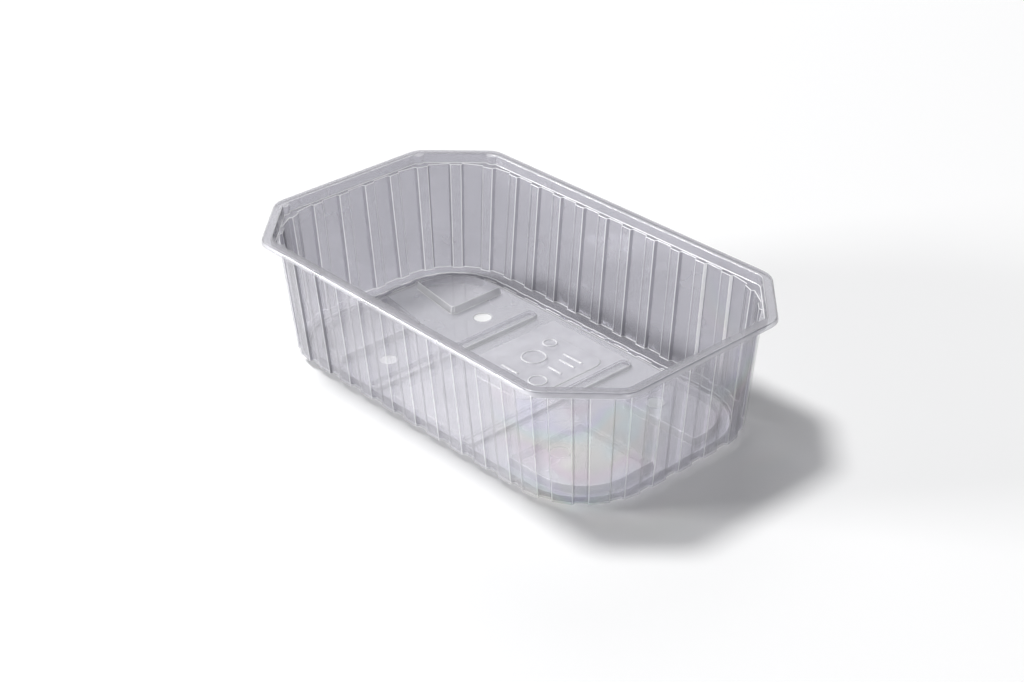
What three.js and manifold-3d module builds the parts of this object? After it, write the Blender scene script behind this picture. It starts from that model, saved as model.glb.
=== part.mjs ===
// A thermoformed punnet tray of clear plastic: fluted walls, a stepped octagonal rim and a ribbed floor.
// Millimetres, +Z up, origin at the middle of the flat base, +X along the long side.

import * as THREE from 'three';
import { mergeVertices } from 'three/addons/utils/BufferGeometryUtils.js';
import Module from 'manifold-3d';

const wasm = await Module();
wasm.setup();

// Driving dimensions of the rim.
const length = 190;
const width = 115;
const height = 50.5;
const sheet = 0.6;
const cornerCut = 23;
const rimCornerRadius = 9;
const flangeWidth = 4;
const flangeEdgeRadius = 0.5;
const skirtDrop = 1.8;
const skirtFlare = 0.3;
const riserHeight = 3.8;
const riserDraft = 0.35;
const ledgeWidth = 0.8;
const lugRadius = 2.3;
const lugReach = 1.2;
const lugDrop = 0.3;

// Driving dimensions of the fluted wall.
const wallCornerRadius = 33;
const wallDraft = 4;
const flutePitch = 12.4;
const fluteTopWidth = 4.4;
const fluteFootWidth = 5.8;
const fluteDepth = 1.1;

// Driving dimensions of the foot: a shelf runs round inside the flutes and steps down to the floor.
const footHeight = 2.9;
const footLedge = 4.3;
const footLedgeFall = 0.6;
const footStepHeight = 1.2;
const footStepDraft = 0.3;
const footBevel = 0.5;
const fluteEcho = 0.25;

// Driving dimensions of the floor.
const barMiddles = [-29.3, 22.2];
const barWidth = 4;
const barHeight = 1.5;
const barRadius = 1.5;
const barFront = 42;
const barBack = 37;
const barMargin = 0.6;
const padLeft = 51.9;
const padRight = 42.3;
const padBack = 15.4;
const padFrontLeft = 1.5;
const padFrontRight = 6.2;
const padSkew = 0.15;
const padHeight = 3.1;
const padRadius = 1.2;
const padMargin = 4.5;
const plateHalfLength = 19.8;
const plateHeight = 0.5;
const plateRadius = 2;
const plateMargin = 4.3;
const panelLeft = 12.5;
const panelRight = 15.5;
const panelFront = 9;
const panelBack = 31;
const panelHeight = 0.5;
const panelRadius = 4;
const floorDraft = 0.5;
const ventDiameter = 7;
const ventLeft = 42;
const ventRight = 51;
const ventBack = 22;
const ventFront = 24.6;

// Steps of the curves, and how far a cutter reaches past what it cuts.
const drumSteps = 24;
const arcSteps = 3;
const overlap = 1;

// Levels and insets that follow from them.
const ledgeLevel = height - riserHeight;
const riserInset = flangeWidth + riserDraft;
const wallInset = riserInset + ledgeWidth;
const ventRadius = ventDiameter / 2;
const floorInset = wallDraft + footLedge + footStepDraft + footBevel;

function solidFrom(geometry) {
  geometry.deleteAttribute('normal');
  geometry.deleteAttribute('uv');
  const merged = mergeVertices(geometry, 1e-4);
  const vertProperties = new Float32Array(merged.attributes.position.array);
  const triVerts = new Uint32Array(merged.index.array);
  return new wasm.Manifold(new wasm.Mesh({ numProp: 3, vertProperties, triVerts }));
}

function geometryFrom(solid) {
  const mesh = solid.getMesh();
  const geometry = new THREE.BufferGeometry();
  geometry.setAttribute('position', new THREE.BufferAttribute(mesh.vertProperties, 3));
  geometry.setIndex(new THREE.BufferAttribute(mesh.triVerts, 1));
  geometry.computeVertexNormals();
  return geometry;
}

// A post stands at a point of an outline and knows the way outward, so that an inset outline
// is found by moving each post inward along its own normal.
function post(x, y, nx, ny, proud = 0) {
  return { x, y, nx, ny, proud };
}

function ringAt(posts, inset, z, depth = 0) {
  return posts.map((p) => {
    const move = inset + depth * p.proud;
    return new THREE.Vector3(p.x - p.nx * move, p.y - p.ny * move, z);
  });
}

// The posts of a convex polygon with rounded corners, anticlockwise from above.
function roundedPosts(corners, radius, steps) {
  const posts = [];
  corners.forEach((corner, i) => {
    const before = corners[(i + corners.length - 1) % corners.length];
    const after = corners[(i + 1) % corners.length];
    const into = corner.clone().sub(before).normalize();
    const away = after.clone().sub(corner).normalize();
    const turn = Math.acos(THREE.MathUtils.clamp(into.dot(away), -1, 1));
    const bisector = away.clone().sub(into).normalize();
    const centre = corner.clone().addScaledVector(bisector, radius / Math.cos(turn / 2));
    const start = Math.atan2(-into.x, into.y);
    for (let k = 0; k <= steps; k += 1) {
      const angle = start + (turn * k) / steps;
      const nx = Math.cos(angle);
      const ny = Math.sin(angle);
      posts.push(post(centre.x + radius * nx, centre.y + radius * ny, nx, ny));
    }
  });
  return posts;
}

function octagonCorners(halfLength, halfWidth, cut) {
  const quarter = [[halfLength, halfWidth - cut], [halfLength - cut, halfWidth]];
  const signs = [[1, 1], [-1, 1], [-1, -1], [1, -1]];
  return signs.flatMap(([sx, sy], i) => {
    const pair = quarter.map(([x, y]) => new THREE.Vector2(x * sx, y * sy));
    return i % 2 ? pair.reverse() : pair;
  });
}

// A point of the first quarter of the wall outline, measured along it from the middle of the short side.
function quarterPost(distance, proud) {
  const halfLength = length / 2 - wallInset;
  const halfWidth = width / 2 - wallInset;
  const straight = halfWidth - wallCornerRadius;
  const arc = (wallCornerRadius * Math.PI) / 2;
  if (distance <= straight) return post(halfLength, distance, 1, 0, proud);
  if (distance >= straight + arc) {
    const x = halfLength - wallCornerRadius - (distance - straight - arc);
    return post(x, halfWidth, 0, 1, proud);
  }
  const angle = (distance - straight) / wallCornerRadius;
  const nx = Math.cos(angle);
  const ny = Math.sin(angle);
  const x = halfLength - wallCornerRadius + wallCornerRadius * nx;
  return post(x, straight + wallCornerRadius * ny, nx, ny, proud);
}

// Flutes keep their pitch on the straight sides, and the corner shares what is left evenly.
function fluteCentres() {
  const longStraight = length / 2 - wallInset - wallCornerRadius;
  const shortStraight = width / 2 - wallInset - wallCornerRadius;
  const quarter = longStraight + shortStraight + (wallCornerRadius * Math.PI) / 2;
  const shortCount = Math.round(shortStraight / flutePitch);
  const longCount = Math.round(longStraight / flutePitch);
  const cornerLength = quarter - (shortCount + longCount) * flutePitch;
  const cornerCount = Math.round(cornerLength / flutePitch);
  const centres = [];
  for (let k = 0; k < shortCount; k += 1) centres.push((k + 0.5) * flutePitch);
  for (let k = 0; k < cornerCount; k += 1) {
    centres.push(shortCount * flutePitch + ((k + 0.5) * cornerLength) / cornerCount);
  }
  for (let k = longCount - 1; k >= 0; k -= 1) centres.push(quarter - (k + 0.5) * flutePitch);
  return centres;
}

function wallPosts() {
  const quarter = fluteCentres().flatMap((centre) => [
    quarterPost(centre - fluteFootWidth / 2, 0),
    quarterPost(centre - fluteTopWidth / 2, 1),
    quarterPost(centre + fluteTopWidth / 2, 1),
    quarterPost(centre + fluteFootWidth / 2, 0),
  ]);
  const turned = (list, sx, sy) =>
    list.map((p) => post(p.x * sx, p.y * sy, p.nx * sx, p.ny * sy, p.proud));
  const back = [...quarter].reverse();
  return [...quarter, ...turned(back, -1, 1), ...turned(quarter, -1, -1), ...turned(back, 1, -1)];
}

// A solid skinned over rings of equal count, closed by a flat cap at each end.
function loft(rings) {
  const count = rings[0].length;
  const positions = rings.flatMap((ring) => ring.flatMap((v) => [v.x, v.y, v.z]));
  const index = [];
  for (let r = 0; r + 1 < rings.length; r += 1) {
    for (let k = 0; k < count; k += 1) {
      const a = r * count + k;
      const b = r * count + ((k + 1) % count);
      index.push(a, b, b + count, a, b + count, a + count);
    }
  }
  const capOf = (ring) =>
    THREE.ShapeUtils.triangulateShape(ring.map((v) => new THREE.Vector2(v.x, v.y)), []);
  capOf(rings[0]).forEach(([a, b, c]) => index.push(a, c, b));
  const top = (rings.length - 1) * count;
  capOf(rings[rings.length - 1]).forEach(([a, b, c]) => index.push(top + a, top + b, top + c));
  const geometry = new THREE.BufferGeometry();
  geometry.setAttribute('position', new THREE.Float32BufferAttribute(positions, 3));
  geometry.setIndex(index);
  return solidFrom(geometry);
}

// A closed profile of inset and height, anticlockwise, carried round an outline.
function sweptRing(posts, profile) {
  const rings = profile.map(([inset, z]) => ringAt(posts, inset, z));
  const count = posts.length;
  const positions = rings.flatMap((ring) => ring.flatMap((v) => [v.x, v.y, v.z]));
  const index = [];
  for (let r = 0; r < rings.length; r += 1) {
    const next = (r + 1) % rings.length;
    for (let k = 0; k < count; k += 1) {
      const a = r * count + k;
      const b = r * count + ((k + 1) % count);
      const c = next * count + ((k + 1) % count);
      const d = next * count + k;
      index.push(a, b, c, a, c, d);
    }
  }
  const geometry = new THREE.BufferGeometry();
  geometry.setAttribute('position', new THREE.Float32BufferAttribute(positions, 3));
  geometry.setIndex(index);
  return solidFrom(geometry);
}

// The outline of the rim, with this many steps round each corner.
function rimPosts(steps) {
  return roundedPosts(octagonCorners(length / 2, width / 2, cornerCut), rimCornerRadius, steps);
}

// The rim: riser, flat flange with an eased edge, and a short flared skirt.
function rimSolid() {
  const edge = flangeEdgeRadius;
  const profile = [
    [0, height - skirtDrop],
    [skirtFlare, height - edge],
    [skirtFlare + edge, height],
    [flangeWidth, height],
    [riserInset, ledgeLevel - sheet / 2],
    [riserInset - sheet, ledgeLevel - sheet / 2],
    [flangeWidth - sheet, height - sheet],
    [skirtFlare + sheet, height - sheet],
    [sheet, height - skirtDrop],
  ];
  return sweptRing(rimPosts(arcSteps), profile);
}

// The ledge between the foot of the riser and the head of the fluted wall.
function ledgeSolid() {
  const posts = rimPosts(arcSteps);
  const inset = riserInset - sheet;
  return loft([ringAt(posts, inset, ledgeLevel - sheet), ringAt(posts, inset, ledgeLevel)]);
}

// A stacking lug stands in the riser at each corner of the left end.
function lugSolids() {
  const low = ledgeLevel - sheet / 2;
  const high = height - lugDrop;
  const posts = rimPosts(arcSteps);
  const room = loft([
    ringAt(posts, riserInset - sheet / 2, low),
    ringAt(posts, flangeWidth - sheet / 2, high),
  ]);
  const inset = riserInset + lugReach - lugRadius;
  const cornerMiddles = rimPosts(2).filter((p, i) => i % 3 === 1 && p.x < 0);
  return cornerMiddles.map((p) => {
    const x = p.x - p.nx * inset;
    const y = p.y - p.ny * inset;
    return drumSolid(lugRadius, x, y, low - overlap, height).intersect(room);
  });
}

// The wall's profile from the floor up to the ledge: inset, height and depth of the flutes there.
function wallProfile() {
  const ledgeTop = footHeight - footLedgeFall;
  return [
    [floorInset, sheet, 0],
    [floorInset - footBevel, ledgeTop - footStepHeight, fluteEcho],
    [wallDraft + footLedge, ledgeTop, fluteEcho],
    [wallDraft, footHeight, fluteDepth],
    [0, ledgeLevel, fluteDepth],
  ];
}

// The same profile moved outward by the thickness of the sheet, measured square to it.
function outerProfile(profile) {
  return profile.map(([inset, z, depth], i) => {
    const [lowInset, lowZ] = profile[i - 1] ?? [inset + 1, z];
    const [highInset, highZ] = profile[i + 1] ?? [inset, z + 1];
    const below = new THREE.Vector2(inset - lowInset, z - lowZ).normalize();
    const above = new THREE.Vector2(highInset - inset, highZ - z).normalize();
    const along = below.clone().add(above).normalize();
    const reach = sheet / along.dot(above);
    return [inset - along.y * reach, z + along.x * reach, depth];
  });
}

// The fluted body: its inside is cut out of its outside, one sheet apart.
function bodySolid(profile, top) {
  const posts = wallPosts();
  const rings = profile.map(([inset, z, depth]) => ringAt(posts, inset, z, depth));
  const [inset, , depth] = profile[profile.length - 1];
  rings[rings.length - 1] = ringAt(posts, inset, top, depth);
  return loft(rings);
}

function frustum(corners, radius, grow, low, high) {
  const posts = roundedPosts(corners, radius, arcSteps);
  return loft([ringAt(posts, -floorDraft - grow, low), ringAt(posts, -grow, high)]);
}

function boxCorners(x0, x1, y0, y1) {
  return [[x1, y0], [x1, y1], [x0, y1], [x0, y0]].map(([x, y]) => new THREE.Vector2(x, y));
}

// A raised shape of the floor, drafted, and kept back from the foot of the wall.
function raisedSolid({ corners, radius, margin }, grow, low, high) {
  const posts = wallPosts();
  const inset = floorInset + margin;
  const reach = loft([
    ringAt(posts, inset - floorDraft - grow, low),
    ringAt(posts, inset - grow, high),
  ]);
  return frustum(corners, radius, grow, low, high).intersect(reach);
}

// Two ribs run across the floor.
function barShapes() {
  return barMiddles.map((middle) => ({
    corners: boxCorners(middle - barWidth / 2, middle + barWidth / 2, -barFront, barBack),
    radius: barRadius,
    margin: barMargin,
    rise: barHeight,
  }));
}

// Each corner has a pad with an upright side along Y and a side along X that runs slightly askew.
function padShapes() {
  const endX = length / 2;
  const endY = width / 2;
  const askew = (x, y) => y + (endX - x) * padSkew;
  const outlines = [
    [[-padLeft, padBack], [-padLeft, endY], [-endX, endY], [-endX, askew(padLeft, padBack)]],
    [[-padLeft, -padFrontLeft], [-endX, askew(padLeft, -padFrontLeft)], [-endX, -endY], [-padLeft, -endY]],
    [[padRight, padBack], [endX, padBack], [endX, endY], [padRight, endY]],
    [[padRight, -padFrontRight], [padRight, -endY], [endX, -endY], [endX, -padFrontRight]],
  ];
  return outlines.map((outline) => ({
    corners: outline.map(([x, y]) => new THREE.Vector2(x, y)),
    radius: padRadius,
    margin: padMargin,
    rise: padHeight,
  }));
}

// A low plate lies between the ribs and carries a smaller panel.
function plateShapes() {
  return [
    {
      corners: boxCorners(-plateHalfLength, plateHalfLength, -width / 2, width / 2),
      radius: plateRadius,
      margin: plateMargin,
      rise: plateHeight,
    },
    {
      corners: boxCorners(-panelLeft, panelRight, -panelFront, panelBack),
      radius: panelRadius,
      margin: plateMargin,
      rise: plateHeight + panelHeight,
    },
  ];
}

// An upright round drum.
function drumSolid(radius, x, y, low, high) {
  const geometry = new THREE.CylinderGeometry(radius, radius, high - low, drumSteps);
  geometry.rotateX(Math.PI / 2);
  geometry.translate(x, y, (low + high) / 2);
  return solidFrom(geometry);
}

function traySolid() {
  const profile = wallProfile();
  let outside = bodySolid(outerProfile(profile), ledgeLevel - sheet / 2);
  let inside = bodySolid(profile, ledgeLevel + overlap);
  for (const shape of [...barShapes(), ...padShapes(), ...plateShapes()]) {
    outside = outside.subtract(raisedSolid(shape, 0, -overlap, shape.rise));
    inside = inside.subtract(raisedSolid(shape, sheet, 0, shape.rise + sheet));
  }
  let tray = outside.add(ledgeSolid()).add(rimSolid()).subtract(inside);
  for (const lug of lugSolids()) tray = tray.add(lug);
  for (const x of [-ventLeft, ventRight]) {
    for (const y of [-ventFront, ventBack]) {
      tray = tray.subtract(drumSolid(ventRadius, x, y, -overlap, ledgeLevel));
    }
  }
  return tray;
}

const group = new THREE.Group();
const material = new THREE.MeshStandardMaterial({ color: 0xd6d8e0, roughness: 0.12, metalness: 0 });
const tray = new THREE.Mesh(geometryFrom(traySolid()), material);
tray.name = 'tray';
group.add(tray);

export default group;
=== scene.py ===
import math

import bmesh
import bpy
from mathutils import Matrix, Quaternion, Vector


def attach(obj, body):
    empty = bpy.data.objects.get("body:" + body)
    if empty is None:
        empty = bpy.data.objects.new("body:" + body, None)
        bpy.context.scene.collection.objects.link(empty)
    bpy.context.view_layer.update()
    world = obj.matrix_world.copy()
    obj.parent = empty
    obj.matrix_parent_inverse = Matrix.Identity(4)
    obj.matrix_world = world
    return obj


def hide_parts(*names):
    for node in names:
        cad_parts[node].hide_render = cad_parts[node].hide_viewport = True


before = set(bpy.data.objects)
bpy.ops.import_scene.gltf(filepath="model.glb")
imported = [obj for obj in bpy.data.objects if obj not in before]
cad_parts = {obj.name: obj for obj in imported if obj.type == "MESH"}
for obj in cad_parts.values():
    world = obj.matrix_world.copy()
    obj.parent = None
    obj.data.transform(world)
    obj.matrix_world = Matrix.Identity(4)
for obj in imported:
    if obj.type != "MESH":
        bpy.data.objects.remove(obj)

bl_info = {
    "name": "Clear Food Tray",
    "version": (1, 0, 0),
    "blender": (4, 5, 0),
    "location": "View3D > Sidebar > Food Tray",
    "description": "Dresses the packed food tray in clear sheet and sets it on a pale studio floor",
    "category": "Object",
}

MM = 0.001
WHITE = (1.0, 1.0, 1.0)

# The sheet's materials, in the order that the shell is given them.
OUTER, CREASE, SIDE, PANEL, FLOOR, INNER, FLUTE, RIM = range(8)

# Points closer than WELD are joined, and so are faces that turn less than FLAT_TURN. Edges that
# turn more than SMOOTH_ANGLE are shaded sharp, and FLAT_WEIGHT keeps the broad faces flat.
WELD = 0.03 * MM
FLAT_TURN = math.radians(0.6)
SMOOTH_ANGLE = math.radians(40)
FLAT_WEIGHT = 90

# The floor of the tray: half its size, the centre and radius of its round corners, and a
# height above its ribs and pads.
FLOOR_X = 79 * MM
FLOOR_Y = 43 * MM
CORNER_X = 52 * MM
CORNER_Y = 15 * MM
CORNER_RADIUS = 28.5 * MM
FLOOR_TOP = 4 * MM

# Heights between which the raised plate and its panel lie.
PLATE_LOW = 1.0 * MM
PLATE_HIGH = 1.8 * MM

# A face is steep where its normal rises less than STEEP, and level where it rises more than LEVEL.
STEEP = 0.5
LEVEL = 0.9

# A face of the wall is on the outside where its normal rises less than this share of how far it
# leans outwards.
OUTSIDE_LEAN = 0.5

# A face on the side of a flute is taller and narrower than these sizes.
FLUTE_HEIGHT = 20 * MM
FLUTE_WIDTH = 1.2 * MM

# Crease faces carry a painted highlight along the rounded edges.
# A face of a rounded edge can be a crease if it is narrower than CREASE_WIDTH, and it runs level
# where it rises less than LEVEL_RUN of its length.
CREASE_WIDTH = 0.35 * MM
LEVEL_RUN = 0.5

# Share of the light that the sheet mirrors face on, and how sharply the mirror and the darkening
# grow towards edge on.
FACE_GLOSS = 0.05
GLANCE_POWER = 5.0
DARK_POWER = 2.2

# Scale, detail and roughness of each noise.
BEND_NOISE = (34.0, 2.0, 0.5)
SPOT_NOISE = (22.0, 1.0, 0.5)
GRAIN_NOISE = (180.0, 4.0, 0.6)
CLOUD_NOISE = (48.0, 3.0, 0.55)
WAVE_NOISE = (70.0, 1.5, 0.4)
FIBRE_NOISE = (400.0, 3.0, 0.5)

# The part of each noise that is used: below it the effect is least, and above it greatest.
SPOT_RANGE = (0.38, 0.62)
GRAIN_RANGE = (0.35, 0.75)
CLOUD_RANGE = (0.35, 0.65)

# Roughness that the grain adds at most, and the least and greatest share of the sheet's haze.
GRAIN_ROUGHNESS = 0.05
CLOUD_SHARES = (0.85, 1.22)

# Strength and height in metres of the waves in the sheet and of the fibres in the paper.
WAVE_BUMP = (0.25, 0.0004)
FIBRE_BUMP = (0.05, 0.0002)

# Stress bands: how many fit in a metre of height, how many the noise shifts them by, where
# x + |y| takes them from nothing to full, the heights between which they fade, and their share.
BAND_COUNT = 42.0
BAND_SHIFT = 2.6
BAND_REACH = (0.088, 0.122)
BAND_HEIGHTS = (0.040, 0.045)
BAND_SHARE = 0.75

# Places across a stress band, and its shades there.
BAND_SHADES = (
    (0.22, (1.0, 0.93, 0.95)),
    (0.42, (0.99, 0.99, 0.92)),
    (0.62, (0.92, 1.0, 0.96)),
    (0.80, (0.94, 0.94, 1.0)),
)

# Sockets of a Mix node that mixes colours.
MIX_AMOUNT, MIX_FIRST, MIX_SECOND, MIX_RESULT = 0, 6, 7, 2

# Middle and radius of each ring, and middle and length of each bar, in millimetres. A bar's edges
# are rounded by a share of the ridge's radius. Points of the marks closer than MARK_WELD are joined.
RINGS = ((-8.0, 26.0, 2.6), (-4.5, 14.5, 4.6), (9.0, 4.0, 3.4))
BARS = ((6.5, 24.0, 10.0), (7.5, 20.0, 8.0), (8.0, 13.5, 7.0), (-4.0, 2.0, 9.0))
BAR_ROUNDING = 0.7
BAR_SEGMENTS = 3
MARK_WELD = 0.002 * MM

# The studio: the paper, the way that the key light shines, the side and place of each soft box in
# metres, the colour of the room, and how many clear faces light may pass one behind another.
PAPER_ROUGHNESS = 0.9
PAPER_SPECULAR = 0.1
KEY_DIRECTION = (0.95, 0.2, -1.88)
REAR_BOX = (0.9, (-1.05, 0.95, 0.95))
LEFT_BOX = (0.5, (-1.05, -1.25, 0.3))
RIGHT_BOX = (0.5, (1.5, -0.5, 0.3))
ROOM_COLOUR = (0.93, 0.94, 1.0)
CLEAR_LAYERS = 24

# The camera: the width of its sensor in millimetres, and the nearest and farthest it sees in metres.
SENSOR_WIDTH = 36.0
NEAREST = 0.01
FARTHEST = 50


class SheetSettings(bpy.types.PropertyGroup):
    """Sizes and colours of the clear sheet."""

    edge_radius: bpy.props.FloatProperty(
        name="Edge Radius", description="Rounding of the drawn edges of the sheet",
        default=0.2 * MM, min=0.0, precision=5, unit="LENGTH")
    edge_segments: bpy.props.IntProperty(
        name="Edge Segments", description="Faces across one rounded edge", default=2, min=1, max=6)
    crease_angle: bpy.props.FloatProperty(
        name="Crease Angle", description="Edges that turn more than this are rounded",
        default=math.radians(24), subtype="ANGLE")
    outside: bpy.props.FloatVectorProperty(
        name="Outside", description="Light that the outer skin lets straight through to the eye",
        default=(0.92, 0.915, 0.945), size=3, subtype="COLOR", min=0.0, max=1.0)
    # The inner skin lets less light through to the eye than the outer skin, though all of it to lamps:
    # painted shade on the walls seen from within.
    inside: bpy.props.FloatVectorProperty(
        name="Inside", description="Light that the inner skin lets straight through to the eye",
        default=(0.50, 0.495, 0.54), size=3, subtype="COLOR", min=0.0, max=1.0)
    shade: bpy.props.FloatVectorProperty(
        name="Shade",
        description="Light of lamps that the outer skin and the rim let through to what is beyond",
        default=(0.30, 0.30, 0.31), size=3, subtype="COLOR", min=0.0, max=1.0)
    rear_skin: bpy.props.FloatVectorProperty(
        name="Rear Skin",
        description="Light that a skin lets through where it is met from within the sheet",
        default=(0.95, 0.95, 0.955), size=3, subtype="COLOR", min=0.0, max=1.0)
    edge_dark: bpy.props.FloatProperty(
        name="Edge Dark",
        description="Share of light still let through where the sheet is seen edge on",
        default=0.46, min=0.0, max=1.0)
    body: bpy.props.FloatVectorProperty(
        name="Body", description="Colour of the haze in the sheet",
        default=(0.90, 0.89, 0.95), size=3, subtype="COLOR", min=0.0, max=1.0)
    haze: bpy.props.FloatProperty(
        name="Haze", description="Share of the light that the outer skin of a wall scatters",
        default=0.20, min=0.0, max=1.0)
    inner_haze: bpy.props.FloatProperty(
        name="Inner Haze", description="Share of the light that the inner skin of a wall scatters",
        default=0.14, min=0.0, max=1.0)
    floor_haze: bpy.props.FloatProperty(
        name="Floor Haze", description="Share of the light that the floor of the tray scatters",
        default=0.21, min=0.0, max=1.0)
    panel_haze: bpy.props.FloatProperty(
        name="Panel Haze",
        description="Share of the light that the raised plate and panel of the floor scatter",
        default=0.38, min=0.0, max=1.0)
    # This pale haze also colours the painted highlight on rounded edges and the painted reflection on
    # the sides of pads and ribs.
    crease_body: bpy.props.FloatVectorProperty(
        name="Crease Body",
        description="Colour of the haze in rounded edges, raised sides, the rim and the marks",
        default=(0.97, 0.97, 0.99), size=3, subtype="COLOR", min=0.0, max=1.0)
    # Rounded edges that catch light let all of it through to the eye and scatter a whiter haze: a
    # painted highlight.
    crease: bpy.props.FloatVectorProperty(
        name="Crease", description="Light that rounded edges let through",
        default=(1.0, 1.0, 1.0), size=3, subtype="COLOR", min=0.0, max=1.0)
    # The narrow sides of the flutes let little light through to the eye but all of it to lamps: painted
    # shade along the flutes.
    flute: bpy.props.FloatVectorProperty(
        name="Flute", description="Light that the narrow sides of the flutes let through",
        default=(0.32, 0.315, 0.36), size=3, subtype="COLOR", min=0.0, max=1.0)
    flute_haze: bpy.props.FloatProperty(
        name="Flute Haze",
        description="Share of the light that the narrow sides of the flutes scatter",
        default=0.20, min=0.0, max=1.0)
    # The scatter of the rounded edges is part of their painted highlight.
    crease_highlight_haze: bpy.props.FloatProperty(
        name="Crease Highlight Haze", description="Share of the light that the rounded edges scatter",
        default=0.46, min=0.0, max=1.0)
    mark_haze: bpy.props.FloatProperty(
        name="Mark Haze",
        description="Share of the light that the rings and bars of the panel scatter",
        default=0.62, min=0.0, max=1.0)
    # The sides of pads and ribs scatter a pale haze and let less through: a painted reflection of the
    # light that these steep faces mirror.
    side_reflection_haze: bpy.props.FloatProperty(
        name="Side Reflection Haze", description="Share of the light that the sides of pads and ribs scatter",
        default=0.34, min=0.0, max=1.0)
    side: bpy.props.FloatVectorProperty(
        name="Side", description="Light that the sides of pads and ribs let straight through",
        default=(0.66, 0.66, 0.69), size=3, subtype="COLOR", min=0.0, max=1.0)
    rim: bpy.props.FloatVectorProperty(
        name="Rim", description="Light that the rim lets straight through",
        default=(0.78, 0.775, 0.81), size=3, subtype="COLOR", min=0.0, max=1.0)
    rim_haze: bpy.props.FloatProperty(
        name="Rim Haze", description="Share of the light that the rim scatters",
        default=0.24, min=0.0, max=1.0)
    rim_foot: bpy.props.FloatProperty(
        name="Rim Foot", description="Height at which the skirt of the rim begins",
        default=47.0 * MM, precision=5, unit="LENGTH")
    rear_haze: bpy.props.FloatProperty(
        name="Rear Haze",
        description="Share of the haze left on a skin that is met from within the sheet",
        default=0.30, min=0.0, max=1.0)
    polish: bpy.props.FloatProperty(
        name="Polish", description="Roughness of the glossiest parts of the sheet",
        default=0.03, min=0.0, max=1.0)


class MarkSettings(bpy.types.PropertyGroup):
    """Sizes of the plain rings and bars on the floor panel."""

    ridge: bpy.props.FloatProperty(
        name="Ridge", description="Radius of the ridge that draws a ring, and how high a bar stands",
        default=0.38 * MM, precision=5, unit="LENGTH")
    ridge_sides: bpy.props.IntProperty(
        name="Ridge Sides", description="Faces round one ridge", default=10, min=4)
    ring_steps: bpy.props.IntProperty(
        name="Ring Steps", description="Steps of one ring", default=48, min=8)
    bar_width: bpy.props.FloatProperty(
        name="Bar Width", description="Width of a plain bar",
        default=0.9 * MM, precision=5, unit="LENGTH")
    panel_top: bpy.props.FloatProperty(
        name="Panel Top", description="Height of the panel that the marks stand on",
        default=1.6 * MM, precision=5, unit="LENGTH")


class StageSettings(bpy.types.PropertyGroup):
    """The floor, the lights and the camera."""

    floor_size: bpy.props.FloatProperty(
        name="Floor Size", description="Side of the square floor", default=14.0, unit="LENGTH")
    floor_colour: bpy.props.FloatVectorProperty(
        name="Floor Colour", description="Colour of the studio floor",
        default=(0.93, 0.93, 0.93), size=3, subtype="COLOR", min=0.0, max=1.0)
    key_strength: bpy.props.FloatProperty(
        name="Key Strength", description="Strength of the wide soft light from the upper left",
        default=2.4)
    key_width: bpy.props.FloatProperty(
        name="Key Width", description="Width of the key light as seen from the tray",
        default=math.radians(14), subtype="ANGLE")
    rear_power: bpy.props.FloatProperty(
        name="Rear Power", description="Power of the soft box behind the tray",
        default=5.0, unit="POWER")
    left_power: bpy.props.FloatProperty(
        name="Left Power", description="Power of the low soft box to the left",
        default=30.0, unit="POWER")
    right_power: bpy.props.FloatProperty(
        name="Right Power", description="Power of the low soft box to the right",
        default=6.0, unit="POWER")
    backdrop: bpy.props.FloatProperty(
        name="Backdrop", description="Brightness of the room where the camera sees it",
        default=0.85, min=0.0)
    sky: bpy.props.FloatProperty(
        name="Sky", description="Brightness of the room as a light", default=0.10, min=0.0)
    aim: bpy.props.FloatVectorProperty(
        name="Aim", description="Point that the camera looks at",
        default=(18.840 * MM, -17.043 * MM, 30.861 * MM), size=3, precision=5,
        subtype="TRANSLATION")
    distance: bpy.props.FloatProperty(
        name="Distance", description="Distance from the camera to its aim",
        default=666.756 * MM, unit="LENGTH")
    azimuth: bpy.props.FloatProperty(
        name="Azimuth", description="Turn of the camera round the tray",
        default=math.radians(48.331), subtype="ANGLE")
    elevation: bpy.props.FloatProperty(
        name="Elevation", description="Height of the camera above the horizon",
        default=math.radians(30.031), subtype="ANGLE")
    roll: bpy.props.FloatProperty(
        name="Roll", description="Tilt of the camera about its view",
        default=math.radians(-0.9147), subtype="ANGLE")
    lens: bpy.props.FloatProperty(
        name="Lens", description="Focal length for a 36 mm sensor", default=67.401, unit="CAMERA")


def new_material(name):
    """An empty node material."""
    material = bpy.data.materials.new(name)
    material.use_nodes = True
    material.node_tree.nodes.clear()
    return material


def add_node(tree, kind, **inputs):
    """A node of this kind, with values for its named inputs."""
    node = tree.nodes.new(kind)
    for name, value in inputs.items():
        node.inputs[name.replace("_", " ")].default_value = value
    return node


def join(tree, output, target):
    """Links an output socket to an input socket."""
    tree.links.new(output, target)


def math_node(tree, operation, first, second=None):
    """The output of a Math node on a socket and a second socket or number."""
    node = tree.nodes.new("ShaderNodeMath")
    node.operation = operation
    join(tree, first, node.inputs[0])
    if isinstance(second, (int, float)):
        node.inputs[1].default_value = second
    elif second is not None:
        join(tree, second, node.inputs[1])
    return node.outputs["Value"]


def colour(rgb):
    """A colour with full alpha."""
    return (*rgb, 1.0)


def blended(tree, kind, first, second, amount):
    """The colour output of a Mix node, whose colours and amount are sockets or plain values."""
    node = tree.nodes.new("ShaderNodeMix")
    node.data_type = "RGBA"
    node.blend_type = kind
    for place, value in ((MIX_FIRST, first), (MIX_SECOND, second), (MIX_AMOUNT, amount)):
        if isinstance(value, bpy.types.NodeSocket):
            join(tree, value, node.inputs[place])
        else:
            node.inputs[place].default_value = value
    return node.outputs[MIX_RESULT]


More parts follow.
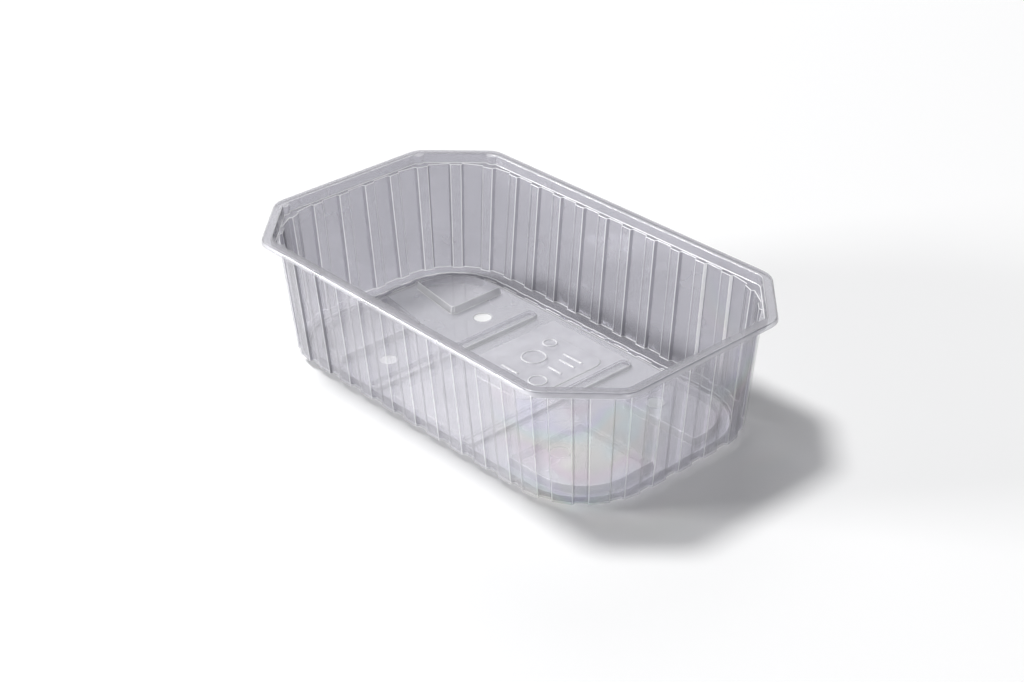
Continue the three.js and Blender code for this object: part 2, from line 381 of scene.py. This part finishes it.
def noise(tree, place, scale, detail, roughness):
    """The value of a Noise Texture at a place."""
    node = add_node(tree, "ShaderNodeTexNoise", Scale=scale, Detail=detail, Roughness=roughness)
    join(tree, place, node.inputs["Vector"])
    return node.outputs["Fac"]


def ranged(tree, value, old, new, kind="LINEAR"):
    """A value taken from an old range to a new one, and held at its ends."""
    node = add_node(
        tree, "ShaderNodeMapRange", From_Min=old[0], From_Max=old[1], To_Min=new[0], To_Max=new[1])
    node.interpolation_type = kind
    join(tree, value, node.inputs["Value"])
    return node.outputs["Result"]


def bumped(tree, height, strength, distance):
    """The normal of a surface with this height on it."""
    node = add_node(tree, "ShaderNodeBump", Strength=strength, Distance=distance)
    join(tree, height, node.inputs["Height"])
    return node.outputs["Normal"]


def layered(tree, under, over, share):
    """The output of a Mix Shader that shows this share of the shader on top."""
    node = tree.nodes.new("ShaderNodeMixShader")
    join(tree, share, node.inputs["Fac"])
    join(tree, under, node.inputs[1])
    join(tree, over, node.inputs[2])
    return node.outputs["Shader"]


def surfaced(material, shader):
    """The material, with this shader as its surface."""
    output = material.node_tree.nodes.new("ShaderNodeOutputMaterial")
    join(material.node_tree, shader, output.inputs["Surface"])
    return material


def band_shade(tree, place, height):
    """The pastel shade of the stress bands, which lie one above another and are bent by a noise."""
    rise = math_node(tree, "MULTIPLY", height, BAND_COUNT)
    shift = math_node(tree, "MULTIPLY", noise(tree, place, *BEND_NOISE), BAND_SHIFT)
    turns = math_node(tree, "ADD", rise, shift)
    bands = tree.nodes.new("ShaderNodeValToRGB")
    ramp = bands.color_ramp
    ramp.interpolation = "EASE"
    for end in ramp.elements:
        end.color = colour(WHITE)
    for position, shade in BAND_SHADES:
        ramp.elements.new(position).color = colour(shade)
    join(tree, math_node(tree, "FRACT", turns), bands.inputs["Fac"])
    return bands.outputs["Color"]


def band_strength(tree, place, parts):
    """How far the stress bands show: in spots, at the corners of the right end, below the rim."""
    across = math_node(tree, "ABSOLUTE", parts.outputs["Y"])
    reach = math_node(tree, "ADD", parts.outputs["X"], across)
    corner = ranged(tree, reach, BAND_REACH, (0.0, 1.0), "SMOOTHSTEP")
    spots = ranged(tree, noise(tree, place, *SPOT_NOISE), SPOT_RANGE, (0.0, 1.0))
    low = ranged(tree, parts.outputs["Z"], BAND_HEIGHTS, (BAND_SHARE, 0.0))
    return math_node(tree, "MULTIPLY", math_node(tree, "MULTIPLY", corner, spots), low)


def sheet_pattern():
    """The node group for drawn sheet: faint pastel stress bands, grain, uneven haze and slow waves."""
    if "drawn sheet" in bpy.data.node_groups:
        return bpy.data.node_groups["drawn sheet"]
    group = bpy.data.node_groups.new("drawn sheet", "ShaderNodeTree")
    face = group.interface
    face.new_socket(name="Vector", in_out="INPUT", socket_type="NodeSocketVector")
    face.new_socket(name="Tint", in_out="INPUT", socket_type="NodeSocketColor")
    face.new_socket(name="Polish", in_out="INPUT", socket_type="NodeSocketFloat")
    face.new_socket(name="Colour", in_out="OUTPUT", socket_type="NodeSocketColor")
    face.new_socket(name="Bands", in_out="OUTPUT", socket_type="NodeSocketColor")
    face.new_socket(name="Roughness", in_out="OUTPUT", socket_type="NodeSocketFloat")
    face.new_socket(name="Height", in_out="OUTPUT", socket_type="NodeSocketFloat")
    face.new_socket(name="Cloud", in_out="OUTPUT", socket_type="NodeSocketFloat")
    given = group.nodes.new("NodeGroupInput")
    result = group.nodes.new("NodeGroupOutput")
    place = given.outputs["Vector"]
    parts = group.nodes.new("ShaderNodeSeparateXYZ")
    join(group, place, parts.inputs["Vector"])

    shade = band_shade(group, place, parts.outputs["Z"])
    strength = band_strength(group, place, parts)
    film = blended(group, "MIX", colour(WHITE), shade, strength)
    tinted = blended(group, "MULTIPLY", given.outputs["Tint"], shade, strength)
    join(group, film, result.inputs["Bands"])
    join(group, tinted, result.inputs["Colour"])

    grain = ranged(group, noise(group, place, *GRAIN_NOISE), GRAIN_RANGE, (0.0, GRAIN_ROUGHNESS))
    join(group, math_node(group, "ADD", grain, given.outputs["Polish"]), result.inputs["Roughness"])
    cloud = ranged(group, noise(group, place, *CLOUD_NOISE), CLOUD_RANGE, CLOUD_SHARES)
    join(group, cloud, result.inputs["Cloud"])
    join(group, noise(group, place, *WAVE_NOISE), result.inputs["Height"])
    return group


def let_through(tree, settings, through, shade, facing, rear):
    """The light let through: darker edge on, with other values for lamps and from within the sheet."""
    lamps = tree.nodes.new("ShaderNodeLightPath").outputs["Is Shadow Ray"]
    front = blended(tree, "MIX", colour(through), colour(shade), lamps)
    passed = blended(tree, "MIX", front, colour(settings.rear_skin), rear)
    depth = math_node(tree, "POWER", facing, DARK_POWER)
    dark = blended(tree, "MIX", colour(WHITE), colour((settings.edge_dark,) * 3), depth)
    return blended(tree, "MULTIPLY", passed, dark, 1.0)


def clear_sheet(settings, name, through, shade, body, haze):
    """Thin clear sheet: it lets light through, with some haze in it and a gloss on it."""
    material = new_material(name)
    tree = material.node_tree
    place = tree.nodes.new("ShaderNodeTexCoord")
    pattern = tree.nodes.new("ShaderNodeGroup")
    pattern.node_tree = sheet_pattern()
    pattern.inputs["Tint"].default_value = colour(body)
    pattern.inputs["Polish"].default_value = settings.polish
    join(tree, place.outputs["Object"], pattern.inputs["Vector"])
    facing = add_node(tree, "ShaderNodeLayerWeight", Blend=0.5).outputs["Facing"]
    rear = tree.nodes.new("ShaderNodeNewGeometry").outputs["Backfacing"]

    clear = tree.nodes.new("ShaderNodeBsdfTransparent")
    passed = let_through(tree, settings, through, shade, facing, rear)
    stained = blended(tree, "MULTIPLY", passed, pattern.outputs["Bands"], 1.0)
    join(tree, stained, clear.inputs["Color"])

    cloud = tree.nodes.new("ShaderNodeBsdfDiffuse")
    join(tree, pattern.outputs["Colour"], cloud.inputs["Color"])
    amount = ranged(tree, rear, (0.0, 1.0), (haze, haze * settings.rear_haze))
    share = math_node(tree, "MULTIPLY", amount, pattern.outputs["Cloud"])
    base = layered(tree, clear.outputs["BSDF"], cloud.outputs["BSDF"], share)

    gloss = tree.nodes.new("ShaderNodeBsdfAnisotropic")
    join(tree, pattern.outputs["Roughness"], gloss.inputs["Roughness"])
    join(tree, bumped(tree, pattern.outputs["Height"], *WAVE_BUMP), gloss.inputs["Normal"])
    glance = math_node(tree, "POWER", facing, GLANCE_POWER)
    shine = ranged(tree, glance, (0.0, 1.0), (FACE_GLOSS, 1.0))
    return surfaced(material, layered(tree, base, gloss.outputs["BSDF"], shine))


def shell_sheets(settings):
    """The materials of the shell, in their order."""
    body = settings.body
    pale = settings.crease_body
    return (
        clear_sheet(settings, "outer skin", settings.outside, settings.shade, body, settings.haze),
        # Rounded edges: painted highlight of full see-through and a whiter haze.
        clear_sheet(settings, "crease highlight", settings.crease, WHITE, pale, settings.crease_highlight_haze),
        # Sides of pads and ribs: painted reflection.
        clear_sheet(settings, "raised side", settings.side, WHITE, pale, settings.side_reflection_haze),
        clear_sheet(settings, "raised panel", settings.outside, WHITE, body, settings.panel_haze),
        clear_sheet(settings, "tray floor", settings.outside, WHITE, body, settings.floor_haze),
        # Inner skin: painted shade on the walls seen from within.
        clear_sheet(settings, "inner skin", settings.inside, WHITE, body, settings.inner_haze),
        # Flute sides: painted shade.
        clear_sheet(settings, "flute side", settings.flute, WHITE, body, settings.flute_haze),
        clear_sheet(settings, "rim", settings.rim, settings.shade, pale, settings.rim_haze),
    )


def plain_floor(settings):
    """Matt pale studio paper with a barely seen unevenness."""
    material = new_material("studio paper")
    tree = material.node_tree
    place = tree.nodes.new("ShaderNodeTexCoord").outputs["Object"]
    paper = add_node(
        tree, "ShaderNodeBsdfPrincipled", Base_Color=colour(settings.floor_colour),
        Roughness=PAPER_ROUGHNESS, Specular_IOR_Level=PAPER_SPECULAR)
    normal = bumped(tree, noise(tree, place, *FIBRE_NOISE), *FIBRE_BUMP)
    join(tree, normal, paper.inputs["Normal"])
    return surfaced(material, paper.outputs["BSDF"])


def finished(mesh, name, *materials):
    """Makes an object at the origin from a bmesh and frees the bmesh."""
    data = bpy.data.meshes.new(name)
    mesh.to_mesh(data)
    mesh.free()
    piece = bpy.data.objects.new(name, data)
    bpy.context.scene.collection.objects.link(piece)
    for material in materials:
        data.materials.append(material)
    return piece


def shaded(mesh):
    """Shades a bmesh smooth, with its edges sharp where it turns much."""
    for face in mesh.faces:
        face.smooth = True
    for edge in mesh.edges:
        edge.smooth = len(edge.link_faces) == 2 and edge.calc_face_angle(math.pi) < SMOOTH_ANGLE


def edges_of(verts):
    """The edges that meet at these points, each once and in the same order on every run."""
    return list(dict.fromkeys(edge for vert in verts for edge in vert.link_edges))


def longest_edge(face):
    """The longest edge of a face."""
    return max(face.edges, key=lambda edge: edge.calc_length())


def width_of(face):
    """The width of a long narrow face."""
    return face.calc_area() / longest_edge(face).calc_length()


def catches_light(face):
    """True for a narrow face of a rounded edge that runs level, or stands out above its neighbours."""
    # Faces that pass are given the painted highlight of the crease material.
    if width_of(face) > CREASE_WIDTH:
        return False
    longest = longest_edge(face)
    run = longest.verts[1].co - longest.verts[0].co
    if abs(run.z) < LEVEL_RUN * run.length:
        return True
    middle = face.calc_center_median()
    rise = 0.0
    for edge in face.edges:
        for other in edge.link_faces:
            if other is not face:
                rise += (other.calc_center_median() - middle).dot(face.normal) * edge.calc_length()
    return rise < 0


def on_floor(place):
    """True for a place within the round corners of the tray's floor, up to its ribs and pads."""
    past_x = max(abs(place.x) - CORNER_X, 0.0)
    past_y = max(abs(place.y) - CORNER_Y, 0.0)
    inside = abs(place.x) < FLOOR_X and abs(place.y) < FLOOR_Y
    return inside and math.hypot(past_x, past_y) < CORNER_RADIUS and place.z < FLOOR_TOP


def floor_skin(face, height):
    """The material of a face of the floor at this height: raised side, raised panel or floor."""
    # Steep faces of the floor get the painted reflection of the raised sides.
    if abs(face.normal.z) < STEEP:
        return SIDE
    if face.normal.z > LEVEL and PLATE_LOW < height < PLATE_HIGH:
        return PANEL
    return FLOOR


def skin_of(face):
    """The material of a face: one of the floor's, or outer skin, inner skin or flute side."""
    middle = face.calc_center_median()
    if on_floor(middle):
        return floor_skin(face, middle.z)
    outward = Vector((middle.x, middle.y, 0.0)).normalized()
    if face.normal.z < OUTSIDE_LEAN * face.normal.dot(outward):
        return OUTER
    # Long narrow faces on the sides of flutes get painted shade.
    if longest_edge(face).calc_length() > FLUTE_HEIGHT and width_of(face) < FLUTE_WIDTH:
        return FLUTE
    # Other wall faces get the painted shade of the inner skin.
    return INNER


def sort_skins(mesh, rounded, rim_foot):
    """Gives each face of the tray its material, where these faces are those of the rounded edges."""
    for face in mesh.faces:
        # Rounded edges that catch light get the painted highlight.
        skin = CREASE if face in rounded and catches_light(face) else skin_of(face)
        if face.calc_center_median().z > rim_foot and skin in (OUTER, CREASE):
            skin = RIM
        face.material_index = skin


class TRAY_OT_shell(bpy.types.Operator):
    """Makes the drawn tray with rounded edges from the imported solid."""

    bl_idname = "tray.shell"
    bl_label = "Tray Shell"

    def execute(self, context):
        settings = context.scene.tray_sheet
        mesh = bmesh.new()
        mesh.from_mesh(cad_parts["tray"].data)
        bmesh.ops.remove_doubles(mesh, verts=mesh.verts, dist=WELD)
        bmesh.ops.dissolve_limit(
            mesh, angle_limit=FLAT_TURN, verts=mesh.verts, edges=mesh.edges,
            use_dissolve_boundaries=False)
        sharp = [edge for edge in mesh.edges if edge.calc_face_angle(0) > settings.crease_angle]
        rounded = bmesh.ops.bevel(
            mesh, geom=sharp, offset=settings.edge_radius, offset_type="OFFSET", affect="EDGES",
            segments=settings.edge_segments, profile=0.5, material=-1, clamp_overlap=False)
        sort_skins(mesh, set(rounded["faces"]), settings.rim_foot)
        shaded(mesh)
        shell = finished(mesh, "tray_shell", *shell_sheets(settings))
        flat = shell.modifiers.new("flat faces", "WEIGHTED_NORMAL")
        flat.keep_sharp = True
        flat.weight = FLAT_WEIGHT
        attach(shell, "root")
        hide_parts("tray")
        return {"FINISHED"}


class TRAY_OT_marks(bpy.types.Operator):
    """Makes the plain raised rings and bars on the floor panel."""

    bl_idname = "tray.marks"
    bl_label = "Panel Marks"

    def execute(self, context):
        settings = context.scene.tray_marks
        sheet = context.scene.tray_sheet
        top = settings.panel_top
        mesh = bmesh.new()
        for x, y, radius in RINGS:
            profile = bmesh.ops.create_circle(
                mesh, segments=settings.ridge_sides, radius=settings.ridge,
                matrix=Matrix.Translation((x * MM + radius * MM, y * MM, top))
                @ Matrix.Rotation(math.radians(90), 4, "X"))
            bmesh.ops.spin(
                mesh, geom=profile["verts"] + edges_of(profile["verts"]), cent=(x * MM, y * MM, top),
                axis=(0, 0, 1), angle=math.radians(360), steps=settings.ring_steps, use_merge=True)
        for x, y, length in BARS:
            box = bmesh.ops.create_cube(
                mesh, size=1.0,
                matrix=Matrix.Translation((x * MM, y * MM, top))
                @ Matrix.Diagonal((length * MM, settings.bar_width, 2 * settings.ridge, 1.0)))
            bmesh.ops.bevel(
                mesh, geom=edges_of(box["verts"]), offset=BAR_ROUNDING * settings.ridge, affect="EDGES",
                segments=BAR_SEGMENTS, profile=0.5, material=-1)
        bmesh.ops.remove_doubles(mesh, verts=mesh.verts, dist=MARK_WELD)
        bmesh.ops.recalc_face_normals(mesh, faces=mesh.faces)
        shaded(mesh)
        marks = finished(mesh, "panel_marks", clear_sheet(
            sheet, "moulded mark", sheet.outside, WHITE, sheet.crease_body, sheet.mark_haze))
        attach(marks, "root")
        return {"FINISHED"}


class TRAY_OT_stage(bpy.types.Operator):
    """Makes the floor, the soft lights, the room and the camera."""

    bl_idname = "tray.stage"
    bl_label = "Stage"

    def execute(self, context):
        settings = context.scene.tray_stage
        mesh = bmesh.new()
        bmesh.ops.create_grid(mesh, x_segments=1, y_segments=1, size=settings.floor_size / 2)
        floor = finished(mesh, "studio_floor", plain_floor(settings))
        key_light(settings)
        soft_light("rear box", settings.rear_power, *REAR_BOX)
        soft_light("left box", settings.left_power, *LEFT_BOX)
        soft_light("right box", settings.right_power, *RIGHT_BOX)
        add_room(settings)
        add_camera(settings)
        context.scene.view_settings.view_transform = "Standard"
        context.scene.cycles.transparent_max_bounces = CLEAR_LAYERS
        return {"FINISHED"}


def add_lamp(name, lamp, place, direction):
    """Sets a lamp in the scene at this place, with its light in this direction."""
    thing = bpy.data.objects.new(name, lamp)
    thing.location = place
    thing.rotation_mode = "QUATERNION"
    thing.rotation_quaternion = Vector(direction).to_track_quat("-Z", "Y")
    bpy.context.scene.collection.objects.link(thing)


def key_light(settings):
    """The wide light from the upper left, even over the whole floor."""
    lamp = bpy.data.lights.new("key light", "SUN")
    lamp.energy = settings.key_strength
    lamp.angle = settings.key_width
    add_lamp("key light", lamp, (0.0, 0.0, 0.0), KEY_DIRECTION)


def soft_light(name, power, side, place):
    """A square area light aimed at the tray."""
    lamp = bpy.data.lights.new(name, "AREA")
    lamp.energy = power
    lamp.size = side
    add_lamp(name, lamp, place, -Vector(place))


def add_room(settings):
    """A pale room that the camera sees brighter than it lights the tray."""
    world = bpy.data.worlds.new("room")
    bpy.context.scene.world = world
    world.use_nodes = True
    room = world.node_tree
    seen = room.nodes.new("ShaderNodeLightPath").outputs["Is Camera Ray"]
    strength = ranged(room, seen, (0.0, 1.0), (settings.sky, settings.backdrop))
    background = room.nodes["Background"]
    background.inputs["Color"].default_value = colour(ROOM_COLOUR)
    join(room, strength, background.inputs["Strength"])


def add_camera(settings):
    """The camera at the photograph's viewing angle."""
    lens = bpy.data.cameras.new("camera")
    lens.sensor_width = SENSOR_WIDTH
    lens.lens = settings.lens
    lens.clip_start = NEAREST
    lens.clip_end = FARTHEST
    flat = math.cos(settings.elevation)
    back = Vector((
        math.sin(settings.azimuth) * flat,
        -math.cos(settings.azimuth) * flat,
        math.sin(settings.elevation)))
    aimed = (-back).to_track_quat("-Z", "Y")
    camera = bpy.data.objects.new("camera", lens)
    camera.rotation_mode = "QUATERNION"
    camera.location = Vector(settings.aim) + back * settings.distance
    camera.rotation_quaternion = aimed @ Quaternion((0, 0, 1), settings.roll)
    bpy.context.scene.collection.objects.link(camera)
    bpy.context.scene.camera = camera


class TRAY_PT_panel(bpy.types.Panel):
    """Lists the pieces of the food tray."""

    bl_label = "Food Tray"
    bl_idname = "TRAY_PT_panel"
    bl_space_type = "VIEW_3D"
    bl_region_type = "UI"
    bl_category = "Food Tray"

    def draw(self, context):
        scene = context.scene
        for settings in (scene.tray_sheet, scene.tray_marks, scene.tray_stage):
            box = self.layout.box()
            for name in settings.__annotations__:
                box.prop(settings, name)
        for operator in ("tray.shell", "tray.marks", "tray.stage"):
            self.layout.operator(operator)


CLASSES = (
    SheetSettings, MarkSettings, StageSettings,
    TRAY_OT_shell, TRAY_OT_marks, TRAY_OT_stage, TRAY_PT_panel,
)


def register():
    """Adds the classes and the settings."""
    for item in CLASSES:
        bpy.utils.register_class(item)
    bpy.types.Scene.tray_sheet = bpy.props.PointerProperty(type=SheetSettings)
    bpy.types.Scene.tray_marks = bpy.props.PointerProperty(type=MarkSettings)
    bpy.types.Scene.tray_stage = bpy.props.PointerProperty(type=StageSettings)


def unregister():
    """Takes the settings and the classes away again."""
    del bpy.types.Scene.tray_stage
    del bpy.types.Scene.tray_marks
    del bpy.types.Scene.tray_sheet
    for item in reversed(CLASSES):
        bpy.utils.unregister_class(item)


def main():
    """Makes the pieces and the stage."""
    register()
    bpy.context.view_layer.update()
    bpy.ops.tray.shell()
    bpy.ops.tray.marks()
    bpy.ops.tray.stage()


if __name__ == "__main__":
    main()
